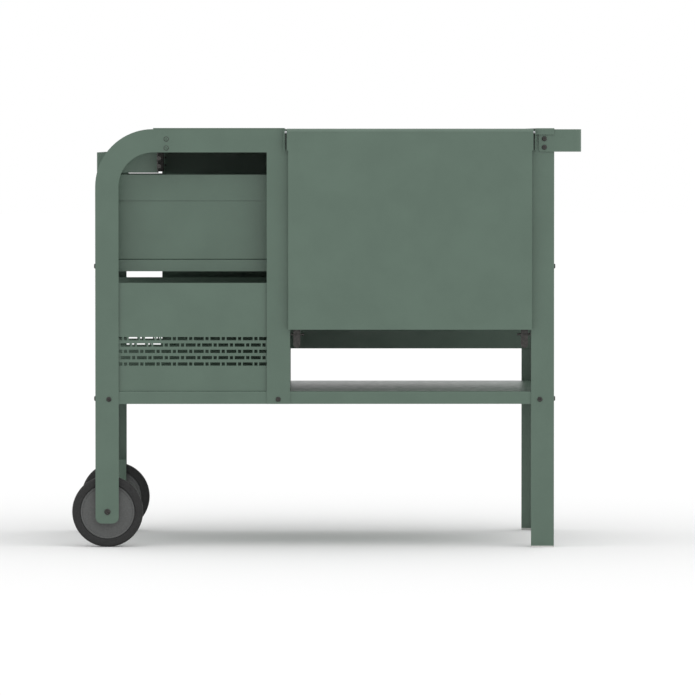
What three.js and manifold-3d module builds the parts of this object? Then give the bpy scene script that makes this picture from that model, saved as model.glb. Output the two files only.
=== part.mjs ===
// Folded-sheet grill trolley: two arched end-to-end frames, a drawer bay on the left, a charcoal
// kettle bay on the right with a front flap and a lid, two wheels on the left and two feet on the right.
// Millimetres, +X to the right, +Y to the back, +Z up.

import * as THREE from "three";
import { mergeVertices } from "three/addons/utils/BufferGeometryUtils.js";
import Module from "manifold-3d";

const wasm = await Module();
wasm.setup();

// ---- Driving dimensions ---------------------------------------------------------------------

const sheet = 2;                 // wall of the folded steel sheet
const gap = 0.3;                 // between two pieces that touch
const depth = 640;               // front frame's face to rear frame's face
const bodyWidth = 985;           // left leg's outer edge to right leg's outer edge
const frameHeight = 898;         // top edge of the frame plates
const legWidth = 50;             // face of every leg, post and rail
const flangeDepth = 50;          // folded side of every leg and post
const archRadius = 124;          // outer radius of the frame's round corner
const midPostLeft = 368;
const rightLegInset = 49.3;      // face width of the right leg
const trayTop = 335;             // top of the base tray
const trayDrop = 27;             // turned-down edge of the base tray
const midTrayShare = 282 / 513;  // middle tray's place between the base tray and the top rail
const midTrayDrop = 25;
const drawerBelowRail = 48;      // drawer's top below the frame's top rail
const drawerCollar = 55.5;       // folded collar round the top of the drawer
const drawerWall = 1.5;
const storeBelowTray = 24;       // lower store's panels below the middle tray
const worktopDrop = 16;
const lidDrop = 14;
const wheelRadius = 76.2;
const wheelWidth = 30;
const wheelSetBack = 9;          // tyre behind the leg's front face
const tyreHeight = 17.8;
const axleRadius = 6;
const axleClearance = 0.3;
const axleInset = 25.6;          // axle behind the left leg's outer edge
const legEndRadius = 14;
const legBelowAxle = 25.2;       // end of the two legs that carry the wheels
const flangeOverWheel = 7.6;     // their folded side stops above the tyre
const footHeight = 2.9;
const footOverhang = 0.5;        // glide beyond the leg's faces
const leftTabInset = 11.6;       // hinge lug inside the middle post's right edge
const rightTabInset = 8;         // hinge lug inside the right leg's left edge
const tabHeight = 46;
const tabReach = 14;
const postFlangeBelowLug = 6;    // folded side of the middle post ends below the lug
const leafThickness = 16;        // flap and lid barrel diameter
const leafStandOff = 1;          // leaf's back to the frame's face
const flapOverTray = 133;        // flap's lower edge above the base tray
const leafRise = 1;              // top of the barrels above the frame plates
const flapLeftGap = 4.9;         // hinge lug to the wide top of the flap
const flapRightGap = 4.2;
const flapShoulder = 2.6;        // narrower lower part of the flap, each side
const hingePinRadius = 3;
const pinClearance = 0.4;
const stayWidth = 15;
const stayThickness = 4;
const stayFromPost = 7;
const stayPivotShare = 130 / 423; // stay's pivot, as a share of the way down the flap
const stayBelowFlap = 40;
const hookBelowFlap = 10.5;
const hookRadius = 2.5;
const hookReach = 8;
const handleReach = 58;          // handle beyond the right leg
const handleHeight = 48.2;
const handleOverlap = 34;
const sideRailHeight = 44;
const sideRailThickness = 3;
const sideRailLength = 130;
const sideRailSetBack = 60;
const railScrewFromRail = 22.4;
const railScrewRises = [28.5, 9.3];   // above the top rail's lower edge
const backPanelLeft = 130;
const backPanelOverTray = 72;
const kettleRadius = 236;
const kettleDepth = 196;
const kettleWall = 2;
const kettleBaseRadius = 62;
const kettleRim = 12;
const deckBelowTop = 34;
const deckDrop = 25;
const deckHoleClearance = 3;
const grateBar = 5;
const ashPanRadius = 88;
const ashPanDepth = 80;
const boltRadius = 3;
const boltHeadRadius = 5.4;
const boltHeadHeight = 3;
const boltHoleClearance = 0.4;
const boltGrip = 10;
const trayBoltInset = 29;        // from the left leg's outer edge
const trayBoltRise = 10;         // tray bolts above the base tray's lower edge
const middleBoltInset = 24.5;    // from the middle post's left edge
const rightBoltInset = 30.5;     // from the right leg's outer edge
const sideBoltRise = 11;         // lower side bolts above the base tray's lower edge
const upperSideBoltDrop = 13.4;  // upper side bolts below the middle tray's top
const handleBoltInset = 21.5;
const handleBoltRises = { lower: 9.5, upper: 28 };

// ---- Places worked out from them ------------------------------------------------------------

const midPostRight = midPostLeft + legWidth;
const rightLegLeft = bodyWidth - rightLegInset;
const railBottom = frameHeight - legWidth;
const trayBottom = trayTop - trayDrop;
const midTrayTop = trayTop + (railBottom - trayTop) * midTrayShare;
const drawerTop = railBottom - drawerBelowRail;
const storeTop = midTrayTop - midTrayDrop - storeBelowTray;
const flapBottom = trayTop + flapOverTray;
const stayBottom = flapBottom - stayBelowFlap;
const hookHeight = flapBottom - hookBelowFlap;
const backPanelBottom = trayTop + backPanelOverTray;
const deckHeight = frameHeight - deckBelowTop;
const wheelRimRadius = wheelRadius - tyreHeight;
const wheelLegEnd = wheelRadius - legBelowAxle;
const flangeEnd = 2 * wheelRadius + flangeOverWheel;
const archCentreX = archRadius;
const archCentreZ = frameHeight - archRadius;
const leftTab = midPostRight - leftTabInset;
const rightTab = rightLegLeft + rightTabInset;
const tabBottom = frameHeight - tabHeight;
const barrelRadius = leafThickness / 2;
const hingeY = -leafStandOff - barrelRadius;
const hingeZ = frameHeight + leafRise - barrelRadius;
const flapLeft = leftTab + flapLeftGap;
const flapRight = rightTab - flapRightGap;
const stayPivotDrop = (hingeZ - flapBottom) * stayPivotShare;
const bayLeft = midPostRight + gap;
const bayRight = bodyWidth - sheet - gap;
const partitionRight = midPostRight - sheet - gap;
const kettleX = (midPostRight + rightLegLeft) / 2;
const kettleY = depth / 2;
const axleX = axleInset;
const axleZ = wheelRadius;
const handleRight = bodyWidth + handleReach;
const originX = (axleX - wheelRadius + handleRight) / 2;

const finishes = {
  greenPaint: { color: 0x677a6e, roughness: 0.6, metalness: 0.1 },
  tyreRubber: { color: 0x3e3e3e, roughness: 0.85, metalness: 0 },
  hubPlastic: { color: 0x585858, roughness: 0.6, metalness: 0 },
  footPlastic: { color: 0x2c2d2c, roughness: 0.7, metalness: 0 },
  darkSteel: { color: 0x4a4641, roughness: 0.45, metalness: 0.8 },
  brightSteel: { color: 0xa9adae, roughness: 0.35, metalness: 0.9 },
  blackEnamel: { color: 0x1b1c1d, roughness: 0.35, metalness: 0.3 },
};

const trolley = new THREE.Group();
trolley.position.set(-originX, -depth / 2, 0);

// ---- Solids ---------------------------------------------------------------------------------

function solidOf(geometry) {
  const bare = geometry.clone();
  bare.deleteAttribute("normal");
  bare.deleteAttribute("uv");
  const merged = mergeVertices(bare, 1e-4);
  const index = merged.getIndex().array;
  const triangles = [];
  for (let i = 0; i < index.length; i += 3) {
    const [a, b, c] = [index[i], index[i + 1], index[i + 2]];
    if (a !== b && b !== c && c !== a) triangles.push(a, b, c);
  }
  return new wasm.Manifold(new wasm.Mesh({
    numProp: 3,
    vertProperties: new Float32Array(merged.getAttribute("position").array),
    triVerts: new Uint32Array(triangles),
  }));
}

function geometryOf(solid) {
  const mesh = solid.getMesh();
  const geometry = new THREE.BufferGeometry();
  geometry.setAttribute("position", new THREE.Float32BufferAttribute(mesh.vertProperties, 3));
  geometry.setIndex(Array.from(mesh.triVerts));
  geometry.computeVertexNormals();
  return geometry;
}

function joined(...geometries) {
  return geometryOf(geometries.map(solidOf).reduce((whole, next) => whole.add(next)));
}

function cut(geometry, ...tools) {
  return geometryOf(tools.map(solidOf).reduce((whole, tool) => whole.subtract(tool), solidOf(geometry)));
}

function block(x, y, z) {
  const box = new THREE.BoxGeometry(x[1] - x[0], y[1] - y[0], z[1] - z[0]);
  return box.translate((x[0] + x[1]) / 2, (y[0] + y[1]) / 2, (z[0] + z[1]) / 2);
}

// A flat plate in the XZ plane, between two depths.
function plateXZ(shape, y, curveSegments = 8) {
  const options = { depth: y[1] - y[0], bevelEnabled: false, curveSegments };
  return new THREE.ExtrudeGeometry(shape, options).rotateX(Math.PI / 2).translate(0, y[1], 0);
}

// A flat plate in the YZ plane, between two widths; the shape's x is Y and its y is Z.
function plateYZ(shape, x, curveSegments = 8) {
  const options = { depth: x[1] - x[0], bevelEnabled: false, curveSegments };
  return new THREE.ExtrudeGeometry(shape, options)
    .rotateX(Math.PI / 2).rotateZ(Math.PI / 2).translate(x[0], 0, 0);
}

// An outline in the XY plane, between two heights.
function plateXY(shape, z, curveSegments = 8) {
  const options = { depth: z[1] - z[0], bevelEnabled: false, curveSegments };
  return new THREE.ExtrudeGeometry(shape, options).translate(0, 0, z[0]);
}

function polygon(points) {
  return new THREE.Shape(points.map(([x, y]) => new THREE.Vector2(x, y)));
}

function rodX(radius, x, y, z, sides = 16) {
  const rod = new THREE.CylinderGeometry(radius, radius, x[1] - x[0], sides);
  return rod.rotateZ(Math.PI / 2).translate((x[0] + x[1]) / 2, y, z);
}

function rodY(radius, x, y, z, sides = 16) {
  const rod = new THREE.CylinderGeometry(radius, radius, y[1] - y[0], sides);
  return rod.translate(x, (y[0] + y[1]) / 2, z);
}

function rodZ(radius, x, y, z, sides = 16) {
  const rod = new THREE.CylinderGeometry(radius, radius, z[1] - z[0], sides);
  return rod.rotateX(Math.PI / 2).translate(x, y, (z[0] + z[1]) / 2);
}

// A turned ring or disc: the profile closes on itself or on the axis, which is Y.
function turned(profile, sides) {
  const points = profile.map(([radius, along]) => new THREE.Vector2(radius, along));
  return new THREE.LatheGeometry(points, sides);
}

// The same piece on the other side of the trolley's middle plane, front to back.
function toRear(geometry) {
  const mirrored = geometryOf(solidOf(geometry)).scale(1, -1, 1).translate(0, depth, 0);
  const index = Array.from(mirrored.getIndex().array);
  for (let i = 0; i < index.length; i += 3) [index[i], index[i + 1]] = [index[i + 1], index[i]];
  mirrored.setIndex(index);
  return mirrored;
}

function add(name, geometry, finish) {
  const mesh = new THREE.Mesh(geometry, new THREE.MeshStandardMaterial(finishes[finish]));
  mesh.name = name;
  trolley.add(mesh);
}

function addPair(name, geometry, finish) {
  add(`front_${name}`, geometry, finish);
  add(`rear_${name}`, toRear(geometry), finish);
}

// ---- Bolts and the holes they pass through ----------------------------------------------------

const boltHole = boltRadius + boltHoleClearance;
const boltSides = 8;
const headSides = 10;
const trayBoltZ = trayBottom + trayBoltRise;
const sideBoltY = flangeDepth / 2;
const sideBoltHeights = { lower: trayBottom + sideBoltRise, upper: midTrayTop - upperSideBoltDrop };
const handleBoltX = bodyWidth - handleBoltInset;
const handleTop = frameHeight - gap;
const handleBottom = handleTop - handleHeight;
const handleBoltHeights = {
  lower: handleBottom + handleBoltRises.lower,
  upper: handleBottom + handleBoltRises.upper,
};
const trayBoltPlaces = {
  left: trayBoltInset,
  middle: midPostLeft + middleBoltInset,
  right: bodyWidth - rightBoltInset,
};

function boltY(x, z, face) {
  const head = rodY(boltHeadRadius, x, [face - gap - boltHeadHeight, face - gap], z, headSides);
  const shank = rodY(boltRadius, x, [face - gap - 1, face + boltGrip], z, boltSides);
  return joined(head, shank);
}

function boltX(y, z, face, side) {
  const headEnds = [face + side * gap, face + side * (gap + boltHeadHeight)].sort((a, b) => a - b);
  const shankEnds = [face + side * (gap + 1), face - side * boltGrip].sort((a, b) => a - b);
  return joined(rodX(boltHeadRadius, headEnds, y, z, headSides),
    rodX(boltRadius, shankEnds, y, z, boltSides));
}

const trayBoltHoles = Object.values(trayBoltPlaces)
  .map((x) => rodY(boltHole, x, [-sheet, 4 * sheet], trayBoltZ, boltSides));
const leftSideHoles = Object.values(sideBoltHeights)
  .map((z) => rodX(boltHole, [-sheet, 4 * sheet], sideBoltY, z, boltSides));
const rightSideHoles = Object.values(sideBoltHeights)
  .map((z) => rodX(boltHole, [bodyWidth - 4 * sheet, bodyWidth + sheet], sideBoltY, z, boltSides));
const handleHoles = Object.values(handleBoltHeights)
  .map((z) => rodY(boltHole, handleBoltX, [-3 * sheet, 2 * sheet], z, boltSides));

for (const [place, x] of Object.entries(trayBoltPlaces)) {
  addPair(`tray_bolt_${place}`, boltY(x, trayBoltZ, 0), "darkSteel");
}
for (const [place, z] of Object.entries(sideBoltHeights)) {
  addPair(`left_side_bolt_${place}`, boltX(sideBoltY, z, 0, -1), "darkSteel");
  addPair(`right_side_bolt_${place}`, boltX(sideBoltY, z, bodyWidth, 1), "darkSteel");
}
for (const [place, z] of Object.entries(handleBoltHeights)) {
  addPair(`handle_bolt_${place}`, boltY(handleBoltX, z, -gap - sheet), "darkSteel");
}

// ---- Arched frames: left leg, round corner, top rail and middle post in one sheet -------------

const railScrewX = sideRailLength + railScrewFromRail;
const railScrewHeights = railScrewRises.map((rise) => railBottom + rise);
const topFlangeZ = [frameHeight - sheet, frameHeight];

function archFrame() {
  const outline = new THREE.Shape();
  outline.moveTo(legEndRadius, wheelLegEnd);
  outline.lineTo(legWidth - legEndRadius, wheelLegEnd);
  outline.absarc(legWidth - legEndRadius, wheelLegEnd + legEndRadius, legEndRadius, -Math.PI / 2, 0, false);
  outline.lineTo(legWidth, archCentreZ);
  outline.absarc(archCentreX, archCentreZ, archRadius - legWidth, Math.PI, Math.PI / 2, true);
  outline.lineTo(midPostLeft, railBottom);
  outline.lineTo(midPostLeft, trayBottom);
  outline.lineTo(midPostRight, trayBottom);
  outline.lineTo(midPostRight, frameHeight);
  outline.lineTo(archCentreX, frameHeight);
  outline.absarc(archCentreX, archCentreZ, archRadius, Math.PI / 2, Math.PI, false);
  outline.lineTo(0, wheelLegEnd + legEndRadius);
  outline.absarc(legEndRadius, wheelLegEnd + legEndRadius, legEndRadius, Math.PI, Math.PI * 1.5, false);
  const face = plateXZ(outline, [0, sheet], 10);
  const legSide = block([0, sheet], [0, flangeDepth], [flangeEnd, archCentreZ]);
  const postSide = block([midPostRight - sheet, midPostRight], [0, flangeDepth],
    [trayTop + gap, tabBottom - postFlangeBelowLug]);
  const topSide = block([archCentreX, leftTab], [0, flangeDepth], topFlangeZ);
  const tab = block([leftTab - sheet, leftTab], [-tabReach, sheet], [tabBottom, frameHeight]);
  const pinHole = rodX(hingePinRadius + pinClearance, [leftTab - 2 * sheet, leftTab + sheet],
    hingeY, hingeZ, 16);
  const axleHole = rodY(boltHole, axleX, [-sheet, 2 * sheet], axleZ, boltSides);
  const screwHoles = railScrewHeights.map((z) => rodY(boltHole, railScrewX, [-sheet, 2 * sheet], z, boltSides));
  return cut(joined(face, legSide, postSide, topSide, tab),
    pinHole, axleHole, ...trayBoltHoles, ...leftSideHoles, ...screwHoles);
}

const backPanelY = [depth - 2 * sheet - 2 * gap, depth - sheet - 2 * gap];
const slotBelowPanel = 3;
const panelSlot = block([midPostRight - 2 * sheet, midPostRight + sheet],
  [backPanelY[0] - gap, depth - sheet], [backPanelBottom - slotBelowPanel, tabBottom]);

// The lid's rear edge passes out over the rear frame between the two rear lugs.
const lidPassage = block([leftTab, rightTab], [depth - 2 * sheet, depth + sheet],
  [tabBottom, frameHeight + sheet]);
const frontArch = archFrame();
add("front_arch_frame", frontArch, "greenPaint");
add("rear_arch_frame", cut(toRear(frontArch), panelSlot, lidPassage), "greenPaint");

// ---- Right legs and their feet ----------------------------------------------------------------

function rightLeg() {
  const legBottom = footHeight + gap;
  const legTop = frameHeight - gap;
  const face = block([rightLegLeft, bodyWidth], [0, sheet], [legBottom, legTop]);
  const side = block([bodyWidth - sheet, bodyWidth], [0, flangeDepth], [legBottom, legTop]);
  const tab = block([rightTab, rightTab + sheet], [-tabReach, sheet], [tabBottom, legTop]);
  const pinHole = rodX(hingePinRadius + pinClearance, [rightTab - sheet, rightTab + 2 * sheet],
    hingeY, hingeZ, 16);
  return cut(joined(face, side, tab), pinHole, ...trayBoltHoles, ...rightSideHoles, ...handleHoles);
}
const frontLeg = rightLeg();
add("front_right_leg", frontLeg, "greenPaint");
add("rear_right_leg", cut(toRear(frontLeg), lidPassage), "greenPaint");

const footLip = 1.5;
const footWidth = sheet + 2 * footLip;
const footRight = bodyWidth + footOverhang;
addPair("foot", joined(
  block([rightLegLeft, footRight], [-footOverhang, footWidth], [0, footHeight]),
  block([footRight - footWidth, footRight], [0, flangeDepth], [0, footHeight]),
), "footPlastic");

// ---- Trays --------------------------------------------------------------------------------------

// A flat sheet with all four edges turned down.
function turnedDownTray(x, y, top, drop) {
  const outer = block(x, y, [top - drop, top]);
  const hollow = block([x[0] + sheet, x[1] - sheet], [y[0] + sheet, y[1] - sheet],
    [top - drop - 1, top - sheet]);
  return cut(outer, hollow);
}

const insideFrame = [sheet + gap, depth - sheet - gap];
add("base_tray", cut(
  turnedDownTray([sheet + gap, bayRight], insideFrame, trayTop, trayDrop),
  ...trayBoltHoles, ...leftSideHoles, ...rightSideHoles,
  ...[...trayBoltHoles, ...leftSideHoles, ...rightSideHoles].map(toRear),
), "greenPaint");

const midTrayX = [sheet + gap, partitionRight - sheet - gap];
const midTrayY = [flangeDepth, depth - flangeDepth];
const earSetBack = 10;
const earY = [earSetBack, depth - earSetBack];
const midTrayBody = turnedDownTray(midTrayX, midTrayY, midTrayTop, midTrayDrop);
const earHeights = [midTrayTop - midTrayDrop, midTrayTop];
add("middle_tray", cut(
  joined(midTrayBody,
    block([midTrayX[0], midTrayX[0] + sheet], earY, earHeights),
    block([midTrayX[1] - sheet, midTrayX[1]], earY, earHeights)),
  ...leftSideHoles, ...leftSideHoles.map(toRear),
), "greenPaint");

// ---- Back panel, partition, worktop ---------------------------------------------------------------

const panelCorner = 8;
const backPanel = new THREE.Shape();
backPanel.moveTo(backPanelLeft, backPanelBottom);
backPanel.lineTo(bayRight - panelCorner, backPanelBottom);
backPanel.absarc(bayRight - panelCorner, backPanelBottom + panelCorner, panelCorner, -Math.PI / 2, 0, false);
backPanel.lineTo(bayRight, tabBottom);
backPanel.lineTo(backPanelLeft, tabBottom);
add("back_panel", plateXZ(backPanel, backPanelY, 4), "greenPaint");

const partitionBelowLid = 4;
const partitionTop = frameHeight - lidDrop - partitionBelowLid;
add("bay_partition", block([partitionRight - sheet, partitionRight], earY, [trayTop + gap, partitionTop]),
  "greenPaint");

// The worktop lies over the frames' top flanges; its left edge is turned down between them.
const worktopX = [archCentreX, leftTab - gap];
const worktopZ = [frameHeight + gap, frameHeight + gap + sheet];
add("worktop_panel", joined(
  block(worktopX, [0, depth], worktopZ),
  block([worktopX[0], worktopX[0] + sheet], [flangeDepth + gap, depth - flangeDepth - gap],
    [worktopZ[1] - worktopDrop, worktopZ[1]]),
), "greenPaint");

// ---- Front and rear panels of the lower store ------------------------------------------------------------

const panelToPartition = 9;
const storeX = [2 * (sheet + gap), partitionRight - sheet - panelToPartition];
const storeFrontY = 3 * sheet;
const storeRearY = depth - flangeDepth - 2 * sheet;
const storeZ = [trayTop + gap, storeTop];
add("store_front_panel", block(storeX, [storeFrontY, storeFrontY + sheet], storeZ), "greenPaint");
add("store_rear_panel", block(storeX, [storeRearY, storeRearY + sheet], storeZ), "greenPaint");

// ---- Drawer that slides out to the left --------------------------------------------------------------

const drawerPlay = 2;            // between the drawer's collar and the frames' folded sides
const drawerX = [sheet + 1, partitionRight - sheet - panelToPartition + gap];
const drawerY = [flangeDepth + drawerPlay, depth - flangeDepth - drawerPlay];
const drawerBottom = midTrayTop + gap;
const fingerNotch = [110, 22];

function upperDrawer() {
  const bodyX = [drawerX[0] + sheet, drawerX[1] - sheet];
  const bodyY = [drawerY[0] + sheet, drawerY[1] - sheet];
  const body = block(bodyX, bodyY, [drawerBottom, drawerTop]);
  const collar = block(drawerX, drawerY, [drawerTop - drawerCollar, drawerTop]);
  const inside = block([bodyX[0] + drawerWall, bodyX[1] - drawerWall],
    [bodyY[0] + drawerWall, bodyY[1] - drawerWall], [drawerBottom + drawerWall, drawerTop + 1]);
  const notch = block([drawerX[0] - 1, bodyX[0] + 2 * drawerWall],
    [depth / 2 - fingerNotch[0] / 2, depth / 2 + fingerNotch[0] / 2],
    [drawerTop - fingerNotch[1], drawerTop + 1]);
  return cut(joined(body, collar), inside, notch);
}
add("upper_drawer", upperDrawer(), "greenPaint");

// ---- Side rail at the left end ---------------------------------------------------------------------------

const sideRailTop = railBottom;
const sideRailX = [sheet, sheet + sideRailLength];
const sideRailY = [sideRailSetBack, depth - sideRailSetBack];
const sideRailZ = [sideRailTop - sideRailHeight, sideRailTop];
add("side_rail", cut(
  block(sideRailX, sideRailY, sideRailZ),
  block([sideRailX[0] + sideRailThickness, sideRailX[1] + 1],
    [sideRailY[0] + sideRailThickness, sideRailY[1] - sideRailThickness],
    [sideRailZ[0] - 1, sideRailZ[1] + 1]),
), "greenPaint");

function railBracket() {
  const webX = [sideRailX[1] + 2 * gap, sideRailX[1] + 2 * gap + sheet];
  const footBottom = railBottom + 6;
  const footTop = topFlangeZ[0] - 2 * gap;
  const frameGap = sheet + gap;
  const stepY = 12;
  const railFootLength = 24;
  const frameFootMargin = 14;
  const rearFace = sideRailY[0] + sideRailThickness + gap;
  const web = plateYZ(polygon([
    [frameGap, footBottom], [stepY, footBottom], [stepY, sideRailZ[0]],
    [rearFace + sheet, sideRailZ[0]], [rearFace + sheet, footTop], [frameGap, footTop],
  ]), webX);
  const frameFoot = block([webX[0], railScrewX + frameFootMargin], [frameGap, frameGap + sheet],
    [footBottom, footTop]);
  const railFoot = block([sideRailX[1] - railFootLength, webX[1]], [rearFace, rearFace + sheet], sideRailZ);
  const screwHoles = railScrewHeights.map((z) => rodY(boltHole, railScrewX, [0, 4 * sheet], z, boltSides));
  return cut(joined(web, frameFoot, railFoot), ...screwHoles);
}
addPair("side_rail_bracket", railBracket(), "darkSteel");

// ---- Handle and top rail at the right end ------------------------------------------------------------------

const handleLeft = bodyWidth - handleOverlap;
const handleCorner = 12;

function handleOutline() {
  const [near, far] = [-gap - sheet, depth + gap + sheet];
  const outline = new THREE.Shape();
  outline.moveTo(handleLeft, near);
  outline.lineTo(handleRight - handleCorner, near);
  outline.absarc(handleRight - handleCorner, near + handleCorner, handleCorner, -Math.PI / 2, 0, false);
  outline.lineTo(handleRight, far - handleCorner);
  outline.absarc(handleRight - handleCorner, far - handleCorner, handleCorner, 0, Math.PI / 2, false);
  outline.lineTo(handleLeft, far);
  outline.lineTo(handleLeft, far - sheet);
  outline.lineTo(handleRight - handleCorner, far - sheet);
  outline.absarc(handleRight - handleCorner, far - handleCorner, handleCorner - sheet, Math.PI / 2, 0, true);
  outline.lineTo(handleRight - sheet, near + handleCorner);
  outline.absarc(handleRight - handleCorner, near + handleCorner, handleCorner - sheet, 0, -Math.PI / 2, true);
  outline.lineTo(handleLeft, near + sheet);
  return outline;
}
// The lower corner of each end of the handle is rounded.
const handleEndRadius = 6;
const handleEndY = [-4 * sheet, sheet];
const handleEndCut = cut(
  block([handleLeft - 1, handleLeft + handleEndRadius], handleEndY,
    [handleBottom - 1, handleBottom + handleEndRadius]),
  rodY(handleEndRadius, handleLeft + handleEndRadius, [-5 * sheet, 2 * sheet],
    handleBottom + handleEndRadius, 24),
);
add("end_handle", cut(plateXY(handleOutline(), [handleBottom, handleTop], 4),
  handleEndCut, toRear(handleEndCut), ...handleHoles, ...handleHoles.map(toRear)), "greenPaint");

const capLeft = rightTab + sheet + gap;
const capFront = -2 * sheet - 3 * gap;
const capLip = 12;
add("right_top_rail", joined(
  block([capLeft, bodyWidth], [capFront, depth - capFront], [frameHeight, frameHeight + sheet]),
  block([capLeft, bodyWidth], [capFront, capFront + sheet], [frameHeight - capLip, frameHeight + sheet]),
  block([capLeft, bodyWidth], [depth - capFront - sheet, depth - capFront],
    [frameHeight - capLip, frameHeight + sheet]),
), "greenPaint");

const crossRailWidth = 22;
const crossRailX = [bayRight - crossRailWidth, bayRight];
const crossRailY = [sheet + gap, backPanelY[0] - gap];
add("right_cross_rail", cut(
  block(crossRailX, crossRailY, earHeights),
  block([crossRailX[0] - 1, crossRailX[1] - sheet], [crossRailY[0] - 1, crossRailY[1] + 1],
    [earHeights[0] + sheet, earHeights[1] - sheet]),
  ...rightSideHoles, ...rightSideHoles.map(toRear),
), "greenPaint");

// ---- Front flap, its pins and its folding stays -------------------------------------------------------------

const pinHoleRadius = hingePinRadius + pinClearance;
const flapFace = [hingeY - barrelRadius, hingeY - barrelRadius + sheet];
const flapBack = hingeY + barrelRadius;
const flapNarrow = [flapLeft + flapShoulder, flapRight - flapShoulder];
const stayPivotRadius = 2.5;
const stayPivotY = flapBack + stayPivotRadius + stayThickness / 2;
const stayPivotZ = hingeZ - stayPivotDrop;
const stayEyeRadius = 5;
const lugClearance = 1.5;
const lugHalfHeight = 8;
const leftStayX = [midPostRight + stayFromPost, midPostRight + stayFromPost + stayWidth];
const rightStayX = [rightLegLeft - stayFromPost - stayWidth, rightLegLeft - stayFromPost];

function stayLugs(stayX) {
  const lugY = [flapFace[0] + 1, stayPivotY + stayEyeRadius];
  const lugZ = [stayPivotZ - lugHalfHeight, stayPivotZ + lugHalfHeight];
  return [
    block([stayX[0] - lugClearance - sheet, stayX[0] - lugClearance], lugY, lugZ),
    block([stayX[1] + lugClearance, stayX[1] + lugClearance + sheet], lugY, lugZ),
    rodX(stayPivotRadius, [stayX[0] - lugClearance - sheet, stayX[1] + lugClearance + sheet],
      stayPivotY, stayPivotZ, 12),
  ];
}

function flapLeaf() {
  const shoulderZ = [tabBottom, hingeZ - 1];
  const sideZ = [flapBottom, tabBottom + 2 * sheet];
  return cut(joined(
    rodX(barrelRadius, [flapLeft, flapRight], hingeY, hingeZ, 20),
    block([flapLeft, flapRight], flapFace, shoulderZ),
    block(flapNarrow, flapFace, [flapBottom, tabBottom + sheet]),
    block([flapLeft, flapNarrow[0] + sheet], [flapFace[0], flapBack], shoulderZ),
    block([flapNarrow[1] - sheet, flapRight], [flapFace[0], flapBack], shoulderZ),
    block([flapNarrow[0], flapNarrow[0] + sheet], [flapFace[0], flapBack], sideZ),
    block([flapNarrow[1] - sheet, flapNarrow[1]], [flapFace[0], flapBack], sideZ),
    block(flapNarrow, [flapFace[0], flapBack], [flapBottom, flapBottom + sheet]),
    ...stayLugs(leftStayX),
    ...stayLugs(rightStayX),
  ), rodX(pinHoleRadius, [flapLeft - 1, flapRight + 1], hingeY, hingeZ, 16));
}
add("flap", flapLeaf(), "greenPaint");

const pinGrip = 20;
add("flap_pin_left", rodX(hingePinRadius, [leftTab - sheet, flapLeft + pinGrip], hingeY, hingeZ),
  "brightSteel");
add("flap_pin_right", rodX(hingePinRadius, [flapRight - pinGrip, rightTab + sheet], hingeY, hingeZ),
  "brightSteel");

// The hook pin reaches past the bar on its inner side, and almost to the post on its outer side.
function flapStay(stayX, hookX) {
  const middle = (stayX[0] + stayX[1]) / 2;
  const endRadius = stayWidth / 2;
  const bar = new THREE.Shape();
  bar.moveTo(stayX[0], stayBottom + endRadius);
  bar.absarc(middle, stayBottom + endRadius, endRadius, Math.PI, 2 * Math.PI, false);
  bar.lineTo(stayX[1], stayPivotZ);
  bar.lineTo(stayX[0], stayPivotZ);
  const barY = [stayPivotY - stayThickness / 2, stayPivotY + stayThickness / 2];
  return cut(joined(
    plateXZ(bar, barY, 6),
    rodX(stayEyeRadius, stayX, stayPivotY, stayPivotZ, 16),
    rodX(hookRadius, hookX, stayPivotY, hookHeight, 12),
  ), rodX(stayPivotRadius + gap, [stayX[0] - 1, stayX[1] + 1], stayPivotY, stayPivotZ, 12));
}
add("stay_left", flapStay(leftStayX, [midPostRight + 1, leftStayX[1] + hookReach]), "darkSteel");
add("stay_right", flapStay(rightStayX, [rightStayX[0] - hookReach, rightLegLeft - 1]), "darkSteel");

// With the flap level, the hook pin lies against the catch's face.
const hookLength = stayPivotZ - hookHeight;
const raisedPivotY = hingeY - stayPivotDrop;
const raisedPivotZ = hingeZ - (stayPivotY - hingeY);
const hookRestY = 6;
const hookRestZ = raisedPivotZ - Math.sqrt(hookLength ** 2 - (hookRestY - raisedPivotY) ** 2);
const catchFaceY = [hookRestY + hookRadius + gap, hookRestY + hookRadius + gap + sheet];
const catchBelowHook = 16;
const catchAboveHook = 20;
const catchZ = [hookRestZ - catchBelowHook, hookRestZ + catchAboveHook];
const catchFootWidth = 20;
const catchWebX = [rightLegLeft + sheet, rightLegLeft + 2 * sheet];
add("stay_catch_left", joined(
  block([bayLeft, leftStayX[0] - 1], catchFaceY, catchZ),
  block([bayLeft, bayLeft + sheet], [catchFaceY[0], flangeDepth - 2 * sheet], catchZ),
), "darkSteel");
add("stay_catch_right", joined(
  block([rightStayX[1] + 1, catchWebX[1]], catchFaceY, catchZ),
  block(catchWebX, [sheet + gap, catchFaceY[1]], catchZ),
  block([catchWebX[0], rightLegLeft + catchFootWidth], [sheet + gap, 2 * sheet + gap], catchZ),
), "darkSteel");

// ---- Wheels ------------------------------------------------------------------------------------------------

const hubBossReach = 2;          // hub boss beyond the tyre, each side
const wheelMiddleY = wheelSetBack + wheelWidth / 2;
const hubHalf = wheelWidth / 2 + hubBossReach;
const axleSpan = [sheet + gap, depth - sheet - gap];
const wheelSides = 32;

function tyre() {
  const half = wheelWidth / 2;
  const inner = wheelRimRadius + gap;
  const shoulder = 6;
  return turned([
    [inner, -half + 2], [inner + 3, -half], [wheelRadius - shoulder, -half], [wheelRadius - 1.6, -half + 2.4],
    [wheelRadius, -half + shoulder], [wheelRadius, half - shoulder], [wheelRadius - 1.6, half - 2.4],
    [wheelRadius - shoulder, half], [inner + 3, half], [inner, half - 2], [inner, -half + 2],
  ], wheelSides);
}

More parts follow.
